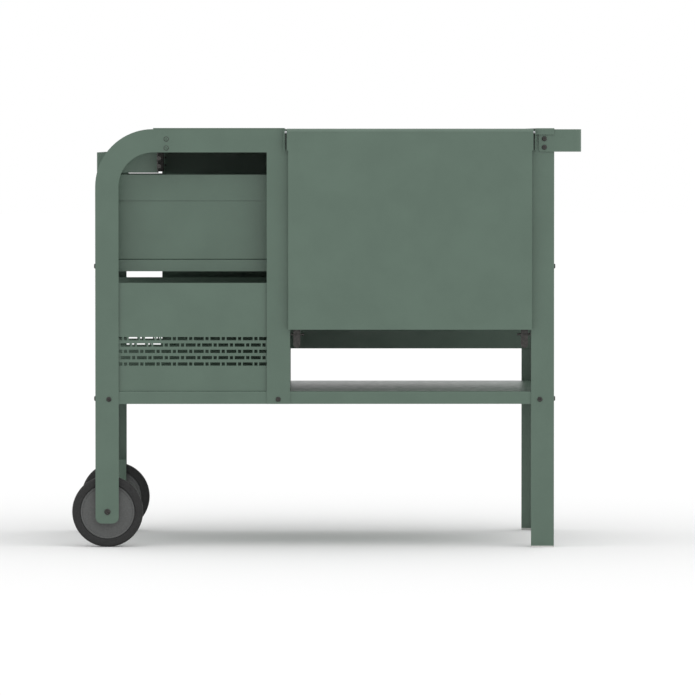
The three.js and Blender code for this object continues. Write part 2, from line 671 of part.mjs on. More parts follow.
function hub() {
  const half = wheelWidth / 2;
  const bore = axleRadius + axleClearance;
  return turned([
    [bore, -hubHalf], [16, -hubHalf], [18, -half + 6], [48, -half + 6], [51, -half + 2],
    [wheelRimRadius, -half + 2], [wheelRimRadius, half - 2], [51, half - 2], [48, half - 6], [18, half - 6],
    [16, hubHalf], [bore, hubHalf], [bore, -hubHalf],
  ], wheelSides);
}

addPair("tyre", geometryOf(solidOf(tyre())).translate(axleX, wheelMiddleY, axleZ), "tyreRubber");
addPair("hub", geometryOf(solidOf(hub())).translate(axleX, wheelMiddleY, axleZ), "hubPlastic");

const axleBoltDepth = 12;
const axleTapHole = (y) => rodY(boltHole, axleX, y, axleZ, boltSides);
add("wheel_axle", cut(rodY(axleRadius, axleX, axleSpan, axleZ, 16),
  axleTapHole([0, axleBoltDepth + 2]), axleTapHole([depth - axleBoltDepth - 2, depth])), "brightSteel");
const axleHeadRadius = 6.6;
addPair("axle_bolt", joined(
  rodY(axleHeadRadius, axleX, [-gap - boltHeadHeight, -gap], axleZ, 12),
  rodY(boltRadius, axleX, [-gap - 1, axleBoltDepth], axleZ, boltSides),
), "darkSteel");

// ---- Kettle: deck, bowl, grates, damper, ash pan and lid ----------------------------------------------------

const deckSetBack = 14;          // behind the face plates and the stay catches
const deckY = [deckSetBack, depth - deckSetBack];
add("grill_deck", cut(
  turnedDownTray([bayLeft, bayRight], deckY, deckHeight, deckDrop),
  rodZ(kettleRadius + deckHoleClearance, kettleX, kettleY, [deckHeight - 4 * sheet, deckHeight + sheet], 32),
), "greenPaint");

const rimBottom = deckHeight + gap;
const rimTop = rimBottom + kettleWall;
const kettleBottom = rimBottom - kettleDepth;
const bowlSteps = 6;
const ventRadius = 13;
const ventCircle = 36;
const ventCount = 4;
const damperPinRadius = 4;
const damperHeadRadius = 9;
const damperHeadHeight = 3;

// Radius and height of the bowl's outside at a share of the way from the base to the rim.
function bowlPoint(share, inset) {
  const angle = share * Math.PI / 2;
  const radius = kettleBaseRadius + (kettleRadius - kettleBaseRadius) * Math.sin(angle) - inset;
  const height = kettleBottom + kettleDepth * (1 - Math.cos(angle));
  return [radius, height];
}

function kettleBowl() {
  const steps = Array.from({ length: bowlSteps + 1 }, (_, i) => i / bowlSteps);
  const outside = steps.map((share) => bowlPoint(share, 0));
  const inside = steps.slice(1).map((share) => bowlPoint(share, kettleWall)).reverse();
  const profile = [
    [0, kettleBottom], ...outside, [kettleRadius + kettleRim, rimBottom], [kettleRadius + kettleRim, rimTop],
    [kettleRadius - kettleWall, rimTop], ...inside, [kettleBaseRadius, kettleBottom + kettleWall],
    [0, kettleBottom + kettleWall],
  ];
  const bowl = turned(profile, 28).rotateX(Math.PI / 2).translate(kettleX, kettleY, 0);
  return cut(bowl, rodZ(damperPinRadius + gap, kettleX, kettleY,
    [kettleBottom - 1, kettleBottom + 2 * kettleWall], 12), ...ventHoles(0));
}

function ventHoles(turn) {
  return Array.from({ length: ventCount }, (_, i) => {
    const angle = turn + i * 2 * Math.PI / ventCount;
    const [x, y] = [kettleX + ventCircle * Math.cos(angle), kettleY + ventCircle * Math.sin(angle)];
    return rodZ(ventRadius, x, y, [kettleBottom - 4 * sheet, kettleBottom + 2 * sheet], 12);
  });
}
add("kettle_bowl", kettleBowl(), "blackEnamel");

const damperTop = kettleBottom - gap;
const damperThickness = 1.5;
const damperRadius = 58;
const leverLength = 150;
const leverWidth = 12;
const damperHeadTop = kettleBottom + kettleWall + damperHeadHeight;
add("vent_damper", cut(joined(
  rodZ(damperRadius, kettleX, kettleY, [damperTop - damperThickness, damperTop], 24),
  rodZ(damperPinRadius, kettleX, kettleY, [damperTop - 1, damperHeadTop], 12),
  rodZ(damperHeadRadius, kettleX, kettleY, [kettleBottom + kettleWall + gap, damperHeadTop], 12),
  block([kettleX - leverWidth / 2, kettleX + leverWidth / 2], [kettleY - leverLength, kettleY - damperRadius + 4],
    [damperTop - damperThickness, damperTop]),
), ...ventHoles(0)), "brightSteel");

// A round grate: a ring with straight bars across it.
function roundGrate(radius, bottom, bar, spacing) {
  const ring = cut(
    rodZ(radius, kettleX, kettleY, [bottom, bottom + bar], 24),
    rodZ(radius - bar, kettleX, kettleY, [bottom - 1, bottom + bar + 1], 24),
  );
  const bars = [];
  const count = Math.floor((radius - bar) / spacing);
  for (let i = -count; i <= count; i += 1) {
    const x = kettleX + i * spacing;
    const reach = Math.sqrt((radius - bar / 2) ** 2 - (i * spacing) ** 2) - 1.5;
    bars.push(block([x - bar / 2, x + bar / 2], [kettleY - reach, kettleY + reach],
      [bottom + 0.5, bottom + bar - 0.5]));
  }
  return joined(ring, ...bars);
}

const charcoalGrateShare = 0.62;
const grateSpacing = 30;
const grateClearance = 3;        // charcoal grate inside and above the bowl's wall
const grateOverlap = 4;          // cooking grate onto the bowl's rim
const [charcoalReach, charcoalZ] = bowlPoint(charcoalGrateShare, kettleWall);
add("charcoal_grate",
  roundGrate(charcoalReach - grateClearance, charcoalZ + grateClearance, grateBar, grateSpacing), "brightSteel");
add("cooking_grate",
  roundGrate(kettleRadius + grateOverlap, rimTop + gap, grateBar, grateSpacing), "brightSteel");

const ashPanDrop = 6;            // under the bowl, clear of the damper
const ashPanTop = kettleBottom - ashPanDrop;
const ashPanWall = 1.5;
const ashPanBottom = ashPanTop - ashPanDepth;
const ashPanBase = 70;
add("ash_pan", turned([
  [0, ashPanBottom], [ashPanBase, ashPanBottom], [ashPanRadius, ashPanTop],
  [ashPanRadius - ashPanWall, ashPanTop], [ashPanBase - ashPanWall, ashPanBottom + ashPanWall],
  [0, ashPanBottom + ashPanWall],
], 24).rotateX(Math.PI / 2).translate(kettleX, kettleY, 0), "brightSteel");

const lidHingeY = depth - hingeY;
const lidTop = frameHeight + leafRise - gap;
const lidFront = sheet + gap;
const lidRear = depth - 3 * sheet;
const lidProfile = polygon([
  [lidFront, lidTop - lidDrop], [lidRear, lidTop - lidDrop], [lidRear, lidTop - sheet],
  [lidHingeY, lidTop - sheet], [lidHingeY, lidTop], [lidFront, lidTop],
]);
const lidHollow = block([flapLeft + sheet, flapRight - sheet], [lidFront + sheet, lidRear - sheet],
  [lidTop - lidDrop - 1, lidTop - sheet]);
add("grill_lid", cut(
  joined(
    cut(plateYZ(lidProfile, [flapLeft, flapRight]), lidHollow),
    rodX(barrelRadius, [flapLeft, flapRight], lidHingeY, hingeZ, 20),
  ),
  rodX(pinHoleRadius, [flapLeft - 1, flapRight + 1], lidHingeY, hingeZ, 16),
), "greenPaint");
add("lid_hinge_rod", rodX(hingePinRadius, [leftTab - 2 * sheet, rightTab + 2 * sheet],
  lidHingeY, hingeZ), "brightSteel");

export default trolley;
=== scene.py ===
import math

import bmesh
import bpy
from mathutils import Matrix, Vector


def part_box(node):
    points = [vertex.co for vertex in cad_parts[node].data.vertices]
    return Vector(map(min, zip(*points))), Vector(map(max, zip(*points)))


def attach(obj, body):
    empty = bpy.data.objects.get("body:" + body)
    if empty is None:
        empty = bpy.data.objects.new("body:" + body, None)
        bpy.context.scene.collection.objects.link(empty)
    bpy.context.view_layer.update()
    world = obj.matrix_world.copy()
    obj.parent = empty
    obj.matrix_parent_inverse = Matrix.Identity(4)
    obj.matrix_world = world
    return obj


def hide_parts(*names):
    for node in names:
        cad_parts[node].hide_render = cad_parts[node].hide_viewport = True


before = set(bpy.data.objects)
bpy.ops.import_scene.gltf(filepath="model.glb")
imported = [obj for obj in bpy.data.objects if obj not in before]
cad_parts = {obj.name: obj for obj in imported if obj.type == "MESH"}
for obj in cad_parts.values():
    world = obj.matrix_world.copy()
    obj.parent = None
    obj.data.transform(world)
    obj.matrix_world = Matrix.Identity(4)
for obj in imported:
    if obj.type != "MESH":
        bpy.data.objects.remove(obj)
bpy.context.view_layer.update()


# ---- Camera --------------------------------------------------------------------------------------
# A long lens stands square to the front, level with the worktop and tipped a little down, so the
# uprights stay straight and the back of the trolley shows just inside the front.

hinge_tab_reach = 0.014
front_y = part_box("front_arch_frame")[0].y + hinge_tab_reach
camera_distance = 14.24
camera_height = 0.883
camera_x = -0.0436
camera_pitch = math.radians(1.8247)
camera_yaw = math.radians(0.357)

camera_data = bpy.data.cameras.new("front_camera")
camera_data.sensor_width = 36.0
camera_data.lens = 343.75
camera_data.clip_start = 0.5
camera_data.clip_end = 80.0
camera = bpy.data.objects.new("front_camera", camera_data)
camera.location = (camera_x, front_y - camera_distance, camera_height)
camera.rotation_euler = (math.pi / 2 - camera_pitch, 0.0, -camera_yaw)
bpy.context.collection.objects.link(camera)
bpy.context.scene.camera = camera


# ---- Studio: pale floor and soft light -----------------------------------------------------------
# A white room with one very wide soft light above and in front. The floor is matt, and bright enough
# to meet the room without a line, so the trolley only leaves a soft shadow on it.

floor_half = 60.0
floor_tone = (0.83, 0.83, 0.83, 1.0)
room_strength = 1.0
key_strength = 0.85
key_spread = math.radians(90)
key_direction = Vector((-0.40, 0.50, -1.0))

bm = bmesh.new()
bmesh.ops.create_grid(bm, x_segments=1, y_segments=1, size=floor_half)
floor_mesh = bpy.data.meshes.new("studio_floor")
bm.to_mesh(floor_mesh)
bm.free()
studio_floor = bpy.data.objects.new("studio_floor", floor_mesh)
bpy.context.collection.objects.link(studio_floor)
floor_material = bpy.data.materials.new("matt_floor")
floor_material.use_nodes = True
floor_shader = floor_material.node_tree.nodes["Principled BSDF"]
floor_shader.inputs["Base Color"].default_value = floor_tone
floor_shader.inputs["Roughness"].default_value = 0.9
floor_shader.inputs["Specular IOR Level"].default_value = 0.0
floor_mesh.materials.append(floor_material)

room = bpy.data.worlds.new("white_room")
room.use_nodes = True
room.node_tree.nodes["Background"].inputs["Color"].default_value = (1.0, 1.0, 1.0, 1.0)
room.node_tree.nodes["Background"].inputs["Strength"].default_value = room_strength
bpy.context.scene.world = room
bpy.context.scene.view_settings.view_transform = "Standard"

key_light_data = bpy.data.lights.new("key_light", "SUN")
key_light_data.energy = key_strength
key_light_data.angle = key_spread
key_light = bpy.data.objects.new("key_light", key_light_data)
key_light.rotation_euler = key_direction.to_track_quat("-Z", "Y").to_euler()
bpy.context.collection.objects.link(key_light)


# ---- Arched frames -------------------------------------------------------------------------------
# Each frame is one laser-cut steel sheet: wheel leg, round corner, top rail and middle post. Their
# outer sides are folded back, and a tab is folded forward for the hinge pin. Powder coated green.

coat_light = (0.085, 0.134, 0.101, 1.0)
coat_dark = (0.078, 0.124, 0.093, 1.0)
fold_radius = 0.0030
inner_fold_radius = 0.0010
cut_edge_radius = 0.00035
wide_face = 0.008
square_from = math.radians(50)
flat_within = math.radians(0.5)
join_distance = 2e-6


def noise(tree, scale, detail, seed=0.0):
    """A noise fixed to the piece; seed moves it, so two noises of one finish don't line up."""
    place = tree.nodes.new("ShaderNodeTexCoord")
    mapping = tree.nodes.new("ShaderNodeMapping")
    mapping.inputs["Location"].default_value = (seed, seed * 0.7, seed * 0.3)
    pattern = tree.nodes.new("ShaderNodeTexNoise")
    pattern.inputs["Scale"].default_value = scale
    pattern.inputs["Detail"].default_value = detail
    tree.links.new(place.outputs["Object"], mapping.inputs["Vector"])
    tree.links.new(mapping.outputs["Vector"], pattern.inputs["Vector"])
    return pattern.outputs["Fac"]


def between(tree, factor, low, high, start=0.35, end=0.65):
    """Two tones mixed by a factor: colours give a colour ramp, numbers give a range."""
    if isinstance(low, tuple):
        ramp = tree.nodes.new("ShaderNodeValToRGB")
        ramp.color_ramp.elements[0].position = start
        ramp.color_ramp.elements[0].color = low
        ramp.color_ramp.elements[1].position = end
        ramp.color_ramp.elements[1].color = high
        tree.links.new(factor, ramp.inputs["Fac"])
        return ramp.outputs["Color"]
    span = tree.nodes.new("ShaderNodeMapRange")
    span.inputs["From Min"].default_value = start
    span.inputs["From Max"].default_value = end
    span.inputs["To Min"].default_value = low
    span.inputs["To Max"].default_value = high
    tree.links.new(factor, span.inputs["Value"])
    return span.outputs["Result"]


def edge_wear_and_painted_light(tree, reach):
    """A broken-up mask that is 1 on the outer few tenths of a millimetre of an edge and 0 on flat faces."""
    # The mask places a tone painted along the edges: part wear and part painted highlight, or painted shade
    # where the tone is darker.
    rounded = tree.nodes.new("ShaderNodeBevel")
    rounded.samples = 4
    rounded.inputs["Radius"].default_value = reach
    flat = tree.nodes.new("ShaderNodeNewGeometry")
    likeness = tree.nodes.new("ShaderNodeVectorMath")
    likeness.operation = "DOT_PRODUCT"
    tree.links.new(rounded.outputs["Normal"], likeness.inputs[0])
    tree.links.new(flat.outputs["Normal"], likeness.inputs[1])
    turned = between(tree, likeness.outputs["Value"], 1.0, 0.0, start=0.80, end=0.985)
    patches = between(tree, noise(tree, scale=35.0, detail=4.0, seed=11.0), 0.25, 1.0)
    mask = tree.nodes.new("ShaderNodeMath")
    mask.operation = "MULTIPLY"
    tree.links.new(turned, mask.inputs[0])
    tree.links.new(patches, mask.inputs[1])
    return mask.outputs["Value"]


def surface(name, tones, rough, bump, edge_wear_and_light, metallic=0.0, specular=0.5, coat=0.0):
    """A finish: tones and rough are (noise scale, low, high), bump is (noise scale, height, strength).

    The last, (edge reach, colour), is a tone painted along the edges: a lighter tone is part wear and part
    painted highlight, a darker one is painted shade.
    """
    material = bpy.data.materials.new(name)
    material.use_nodes = True
    tree = material.node_tree
    shader = tree.nodes["Principled BSDF"]
    shader.inputs["Metallic"].default_value = metallic
    shader.inputs["Specular IOR Level"].default_value = specular
    shader.inputs["Coat Weight"].default_value = coat
    colour = between(tree, noise(tree, tones[0], detail=5.0), tones[1], tones[2])
    # Mixes in the edge tone: wear with a painted highlight where it is lighter than the finish, painted
    # shade where it is darker.
    edged = tree.nodes.new("ShaderNodeMix")
    edged.data_type = "RGBA"
    factor_in, plain_in, edge_wear_and_light_in = edged.inputs[0], edged.inputs[6], edged.inputs[7]
    colour_out = edged.outputs[2]
    edge_wear_and_light_in.default_value = edge_wear_and_light[1]
    tree.links.new(edge_wear_and_painted_light(tree, edge_wear_and_light[0]), factor_in)
    tree.links.new(colour, plain_in)
    tree.links.new(colour_out, shader.inputs["Base Color"])
    roughness = between(tree, noise(tree, rough[0], detail=4.0, seed=3.0), rough[1], rough[2])
    tree.links.new(roughness, shader.inputs["Roughness"])
    relief = tree.nodes.new("ShaderNodeBump")
    relief.inputs["Distance"].default_value = bump[1]
    relief.inputs["Strength"].default_value = bump[2]
    tree.links.new(noise(tree, bump[0], detail=3.0, seed=7.0), relief.inputs["Height"])
    tree.links.new(relief.outputs["Normal"], shader.inputs["Normal"])
    return material


# Its edge tone, lighter than the coat, is edge wear with a painted highlight.
green_coat = surface("green_powder_coat", (14.0, coat_dark, coat_light), (60.0, 0.30, 0.40),
                     (1500.0, 0.00008, 0.35), (0.0006, (0.105, 0.150, 0.118, 1.0)), specular=0.5)


def lay(mesh_builder, name, body, nodes, material):
    """Turns a finished bmesh into a piece that rides on a body and stands for its CAD nodes."""
    mesh = bpy.data.meshes.new(name)
    mesh_builder.to_mesh(mesh)
    mesh_builder.free()
    mesh.materials.append(material)
    piece = bpy.data.objects.new(name, mesh)
    bpy.context.collection.objects.link(piece)
    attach(piece, body)
    if nodes:
        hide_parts(*nodes)
    return piece


def merged_copy(node):
    """The CAD node's mesh with its loose triangles joined and its flat faces made whole."""
    bm = bmesh.new()
    bm.from_mesh(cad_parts[node].data)
    bmesh.ops.remove_doubles(bm, verts=bm.verts, dist=join_distance)
    bmesh.ops.dissolve_limit(bm, angle_limit=flat_within, verts=bm.verts, edges=bm.edges)
    return bm


def round_over(bm, edges, radius, segments):
    """Rounds the given edges with a true arc."""
    if edges:
        bmesh.ops.bevel(bm, geom=edges, offset=radius, offset_type="OFFSET", segments=segments,
                        profile=0.5, affect="EDGES", clamp_overlap=True, material=-1)


def face_width(face):
    """How wide a long flat face is."""
    half_way_round = sum(edge.calc_length() for edge in face.edges) / 2
    return face.calc_area() / half_way_round


def sharp_edges(bm, convex, wide=None):
    """The square edges, by whether they stand out and whether both of their faces are wide."""
    found = []
    for edge in bm.edges:
        if len(edge.link_faces) != 2 or edge.calc_face_angle(0.0) < square_from:
            continue
        if edge.is_convex != convex:
            continue
        if wide is not None and all(face_width(f) > wide_face for f in edge.link_faces) != wide:
            continue
        found.append(edge)
    return found


def folded_sheet(node, body="root", material=green_coat, fold=fold_radius):
    """A CAD sheet with real bend radii on its folds and broken cut edges."""
    bm = merged_copy(node)
    round_over(bm, sharp_edges(bm, convex=True, wide=True), fold, 4)
    round_over(bm, sharp_edges(bm, convex=False, wide=True), inner_fold_radius, 2)
    round_over(bm, sharp_edges(bm, convex=True), cut_edge_radius, 1)
    lay(bm, node + "_sheet", body, [node], material)


folded_sheet("front_arch_frame")
folded_sheet("rear_arch_frame")


# ---- Right legs, their feet and the rails between them -------------------------------------------
# The right legs are plain angles with the same hinge tab. A capping rail lies over their tops and a
# channel ties them at mid height. They stand on thin moulded glides of pale nylon.

# Its edge tone, lighter than the nylon, is edge wear with a painted highlight.
foot_plastic = surface("glide_plastic", (80.0, (0.50, 0.50, 0.48, 1.0), (0.58, 0.58, 0.56, 1.0)),
                       (200.0, 0.45, 0.6), (900.0, 0.00006, 0.5), (0.0005, (0.62, 0.62, 0.60, 1.0)))
glide_edge_radius = 0.0008

for sheet_name in ("front_right_leg", "rear_right_leg", "right_top_rail", "right_cross_rail"):
    folded_sheet(sheet_name)
for foot_name in ("front_foot", "rear_foot"):
    foot = merged_copy(foot_name)
    round_over(foot, sharp_edges(foot, convex=True), glide_edge_radius, 3)
    lay(foot, foot_name + "_glide", "root", [foot_name], foot_plastic)


# ---- Trays, back panel, partition and worktop ----------------------------------------------------
# Flat sheets with turned-down edges carry the load, and plain sheets close the back and part the bays.
# All are bolted or screwed to the folded sides of the frames, and coated before assembly.

for sheet_name in ("base_tray", "middle_tray", "back_panel", "bay_partition", "worktop_panel"):
    folded_sheet(sheet_name)


# ---- Perforated panels of the lower store --------------------------------------------------------
# Two upright sheets with rows of laser-cut dashes and squares that let the charcoal store breathe.
# Every row is moved half a pitch against the row above it.

slot_pitch = 0.035
row_pitch = 0.0136
slot_height = 0.007
dash_length = 0.021
half_steps = 10
top_row_height = 0.1128
front_rows = 5
rear_rows = 3
punched_edge_radius = 0.00025


def row_slots(middle, row):
    """The left and right ends of the holes in one row."""
    ends = []
    for step in range(-half_steps, half_steps + 1):
        length = dash_length if (step + row) % 2 else slot_height
        centre = middle + step * slot_pitch / 2
        ends.append((centre - length / 2, centre + length / 2))
    return ends


def perforated_sheet(node, row_count):
    """A flat sheet cut into cells along every row and slot end, with the cells of the slots taken out."""
    low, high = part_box(node)
    middle = (low.x + high.x) / 2
    top_row = low.z + top_row_height
    rows = [(top_row - row * row_pitch, row_slots(middle, row)) for row in range(row_count)]
    bm = bmesh.new()
    corners = [(low.x, low.z), (high.x, low.z), (high.x, high.z), (low.x, high.z)]
    bm.faces.new([bm.verts.new((x, low.y, z)) for x, z in corners])
    cuts_x = {round(x, 6) for _, slots in rows for ends in slots for x in ends}
    cuts_z = {z + side * slot_height / 2 for z, _ in rows for side in (-1, 1)}
    lines = [((x, 0, 0), (1, 0, 0)) for x in sorted(cuts_x)]
    lines += [((0, 0, z), (0, 0, 1)) for z in sorted(cuts_z)]
    for point, normal in lines:
        bmesh.ops.bisect_plane(bm, geom=bm.verts[:] + bm.edges[:] + bm.faces[:], dist=1e-7,
                               plane_co=point, plane_no=normal)
    holes = []
    for face in bm.faces:
        spot = face.calc_center_median()
        for z, slots in rows:
            in_row = abs(spot.z - z) < slot_height / 2
            if in_row and any(left < spot.x < right for left, right in slots):
                holes.append(face)
    bmesh.ops.delete(bm, geom=holes, context="FACES")
    bmesh.ops.recalc_face_normals(bm, faces=bm.faces)
    if bm.faces[:][0].normal.y > 0:
        bmesh.ops.reverse_faces(bm, faces=bm.faces)
    walls = bmesh.ops.extrude_face_region(bm, geom=bm.faces[:])
    moved = [part for part in walls["geom"] if isinstance(part, bmesh.types.BMVert)]
    bmesh.ops.translate(bm, verts=moved, vec=(0, high.y - low.y, 0))
    bmesh.ops.recalc_face_normals(bm, faces=bm.faces)
    round_over(bm, sharp_edges(bm, convex=True), punched_edge_radius, 1)
    lay(bm, node + "_perforated", "root", [node], green_coat)


perforated_sheet("store_front_panel", front_rows)
perforated_sheet("store_rear_panel", rear_rows)


# ---- Drawer --------------------------------------------------------------------------------------
# An open box with a deep folded collar, which stiffens its top edge and hides the gap to the frame.
# It slides out to the left on the middle tray, and a notch in its end takes the fingers.

drawer_fold_radius = 0.0020

folded_sheet("upper_drawer", body="upper_drawer", fold=drawer_fold_radius)


# ---- Side rail, its brackets and their screws ----------------------------------------------------
# A flat bar bent round three sides of the left end, for hooks and towels. Two dark angle brackets
# hang it from the top rails, with coated socket screws through each rail. Each screw sits on a thin
# dark washer whose dark rim is a painted shadow ring round the head.

# Its edge tone, lighter than the zinc, is edge wear with a painted highlight.
dark_steel = surface("dark_zinc", (220.0, (0.030, 0.029, 0.027, 1.0), (0.056, 0.053, 0.050, 1.0)),
                     (300.0, 0.28, 0.42), (700.0, 0.00004, 0.4),
                     (0.0004, (0.11, 0.105, 0.10, 1.0)), metallic=0.6)
# Its edge tone is darker than the coat: a painted shadow ring round the rim of each head.
coated_head = surface("coated_screw_head", (220.0, coat_dark, coat_light), (300.0, 0.40, 0.5),
                      (700.0, 0.00004, 0.4), (0.0003, (0.040, 0.060, 0.047, 1.0)))
socket_sides = 24
socket_share = 0.95
shank_sides = 16
shank_share = 0.5
rail_screw_radius = 0.0043
rail_screw_height = 0.0022
rail_screw_grip = 0.006
bracket_bolt_radius = 0.0045
bracket_bolt_height = 0.0018
bracket_bolt_grip = 0.004
bracket_bolt_heights = (0.031, 0.014)


def socket_head(bm, radius, height, socket):
    """A domed screw head standing on the XY plane, with a six-sided socket in its top.

    Each ring is (radius, height); the two with no radius are the socket's mouth and floor.
    """
    bmesh.ops.create_circle(bm, radius=radius, segments=socket_sides)
    base_ring = bm.edges[:]
    ring = base_ring
    rings = [(radius, 0.25 * height), (0.93 * radius, 0.65 * height), (0.80 * radius, 0.87 * height),
             (0.68 * radius, height), (None, height), (None, 0.35 * height)]
    for reach, level in rings:
        grown = bmesh.ops.extrude_edge_only(bm, edges=ring)["geom"]
        lifted = [part for part in grown if isinstance(part, bmesh.types.BMVert)]
        ring = [part for part in grown if isinstance(part, bmesh.types.BMEdge)]
        for vert in lifted:
            angle = math.atan2(vert.co.y, vert.co.x)
            if reach is None:
                side_angle = angle % (math.pi / 3) - math.pi / 6
                flat = socket / 2 / math.cos(side_angle)
                vert.co = (flat * math.cos(angle), flat * math.sin(angle), level)
            else:
                vert.co = (reach * math.cos(angle), reach * math.sin(angle), level)
    bmesh.ops.holes_fill(bm, edges=base_ring, sides=socket_sides)
    bmesh.ops.holes_fill(bm, edges=ring, sides=socket_sides)


def socket_screw(name, place, out, radius, height, grip, material, nodes=()):
    """A button-head screw: head, and a shank of the given grip behind it."""
    bm = bmesh.new()
    socket_head(bm, radius, height, radius * socket_share)
    shank_radius = radius * shank_share
    shank = bmesh.ops.create_cone(bm, cap_ends=True, segments=shank_sides, radius1=shank_radius,
                                  radius2=shank_radius, depth=grip)
    bmesh.ops.translate(bm, verts=shank["verts"], vec=(0, 0, -grip / 2))
    bmesh.ops.recalc_face_normals(bm, faces=bm.faces)
    turn = Vector((0, 0, 1)).rotation_difference(Vector(out)).to_matrix().to_4x4()
    bmesh.ops.transform(bm, matrix=Matrix.Translation(place) @ turn, verts=bm.verts)
    lay(bm, name, "root", list(nodes), material)


folded_sheet("side_rail")
rail_screw_in = 0.1524
rail_screw_heights = (0.0285, 0.0093)
washer_radius = 0.0053
washer_thickness = 0.0005
washer_edge_radius = 0.0001
rail_low, rail_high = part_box("side_rail")
rail_bottom = rail_high.z
frame_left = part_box("front_arch_frame")[0].x

for end, out in (("front", -1), ("rear", 1)):
    folded_sheet(end + "_side_rail_bracket", material=dark_steel)
    arch_low, arch_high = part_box(end + "_arch_frame")
    frame_face = arch_low.y + hinge_tab_reach if out < 0 else arch_high.y - hinge_tab_reach
    for level, rise in zip(("upper", "lower"), rail_screw_heights):
        place = Vector((frame_left + rail_screw_in, frame_face, rail_bottom + rise))
        # A thin dark washer under the head: its dark rim is a painted shadow ring round the screw.
        washer = bmesh.new()
        bmesh.ops.create_cone(washer, cap_ends=True, segments=socket_sides, radius1=washer_radius,
                              radius2=washer_radius, depth=washer_thickness)
        round_over(washer, sharp_edges(washer, convex=True), washer_edge_radius, 1)
        seat = place + Vector((0, out * washer_thickness / 2, 0))
        turn = Matrix.Rotation(math.pi / 2, 4, "X")
        bmesh.ops.transform(washer, matrix=Matrix.Translation(seat) @ turn, verts=washer.verts)
        lay(washer, f"{end}_rail_shadow_washer_{level}", "root", [], dark_steel)
        place.y += out * washer_thickness
        socket_screw(f"{end}_rail_screw_{level}", place, (0, out, 0), rail_screw_radius,
                     rail_screw_height, rail_screw_grip, coated_head)
    bracket_low, bracket_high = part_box(end + "_side_rail_bracket")
    bracket_face = bracket_low.y if out < 0 else bracket_high.y
    for level, rise in zip(("upper", "lower"), bracket_bolt_heights):
        place = ((bracket_low.x + bracket_high.x) / 2, bracket_face, rail_low.z + rise)
        socket_screw(f"{end}_bracket_bolt_{level}", place, (0, out, 0), bracket_bolt_radius,
                     bracket_bolt_height, bracket_bolt_grip, dark_steel)


# ---- End handle ----------------------------------------------------------------------------------
# One sheet strip bent round the right end, from the front leg's face to the rear leg's. Its two ends
# are rounded, and bolted through the legs.

folded_sheet("end_handle")


# ---- Front flap, hinge pins and stays ------------------------------------------------------------
# The flap is a shallow folded leaf with a rolled top edge. It turns on two short pins in the tabs, and
# swings up level. Two flat bars pivot on it and hook on the posts to hold it there.

# Its edge tone, lighter than the plating, is edge wear with a painted highlight.
zinc_steel = surface("zinc_plate", (160.0, (0.36, 0.37, 0.375, 1.0), (0.46, 0.47, 0.48, 1.0)),
                     (90.0, 0.28, 0.42), (800.0, 0.00003, 0.35),
                     (0.0004, (0.55, 0.56, 0.56, 1.0)), metallic=0.9)
leaf_fold_radius = 0.0022
turned_edge_radius = 0.0005
bar_edge_radius = 0.0004

folded_sheet("flap", body="flap", fold=leaf_fold_radius)
for side in ("left", "right"):
    pin = merged_copy("flap_pin_" + side)
    round_over(pin, sharp_edges(pin, convex=True), turned_edge_radius, 2)
    lay(pin, f"flap_pin_{side}_turned", "root", ["flap_pin_" + side], zinc_steel)
    stay = merged_copy("stay_" + side)
    round_over(stay, sharp_edges(stay, convex=True), bar_edge_radius, 2)
    lay(stay, f"stay_{side}_bar", "stay_" + side, ["stay_" + side], dark_steel)
    folded_sheet("stay_catch_" + side, material=dark_steel, fold=leaf_fold_radius)


# ---- Lid -----------------------------------------------------------------------------------------
# A flat cover over the kettle with turned-down edges and a rolled back edge. It lifts on a long rod
# held by the tabs of the rear frame.

folded_sheet("grill_lid", body="grill_lid", fold=leaf_fold_radius)
rod = merged_copy("lid_hinge_rod")
round_over(rod, sharp_edges(rod, convex=True), turned_edge_radius, 2)
lay(rod, "lid_hinge_rod_turned", "root", ["lid_hinge_rod"], zinc_steel)


# ---- Kettle: deck, bowl, grates, damper and ash pan ----------------------------------------------
# An enamelled steel bowl hangs by its rim in a hole in the deck. Charcoal lies on the lower wire grate
# and food on the upper one, and a turning disc under the bowl opens and shuts its air holes.

enamel_black = (0.010, 0.010, 0.011, 1.0)
enamel_grey = (0.020, 0.020, 0.022, 1.0)
# Its edge tone, lighter than the enamel, is edge wear with a painted highlight.
enamel = surface("black_enamel", (700.0, enamel_black, enamel_grey), (120.0, 0.16, 0.28),
                 (260.0, 0.00005, 0.3), (0.0004, (0.035, 0.034, 0.033, 1.0)), coat=0.4)
# Its edge tone, lighter than the wire, is edge wear with a painted highlight.
wire_steel = surface("grate_wire", (300.0, (0.42, 0.42, 0.42, 1.0), (0.55, 0.55, 0.55, 1.0)),
                     (200.0, 0.22, 0.36), (900.0, 0.00003, 0.4),
                     (0.0003, (0.60, 0.60, 0.60, 1.0)), metallic=0.95)
wire_sides = 10
wire_diameter = 0.005
cooking_wire_spacing = 0.0145
charcoal_wire_spacing = 0.022
cooking_braces = (-0.09, 0.09)
charcoal_braces = (-0.07, 0.07)
ring_sides = 72
bar_share = 0.4
damper_edge_radius = 0.0003
kettle_low, kettle_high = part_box("kettle_bowl")
middle_x = (kettle_low.x + kettle_high.x) / 2
middle_y = (kettle_low.y + kettle_high.y) / 2


def spun(bm, profile, centre, sides):
    """A closed ring or bowl: the (radius, height) profile turned once round the upright axis."""
    verts = [bm.verts.new((radius, 0, height)) for radius, height in profile]
    edges = [bm.edges.new(pair) for pair in zip(verts, verts[1:])]
    bmesh.ops.spin(bm, geom=verts + edges, cent=(0, 0, 0), axis=(0, 0, 1), angle=math.tau,
                   steps=sides, use_merge=True, use_duplicate=False)
    bmesh.ops.remove_doubles(bm, verts=bm.verts, dist=1e-6)
    bmesh.ops.recalc_face_normals(bm, faces=bm.faces)
    bmesh.ops.translate(bm, verts=bm.verts, vec=centre)


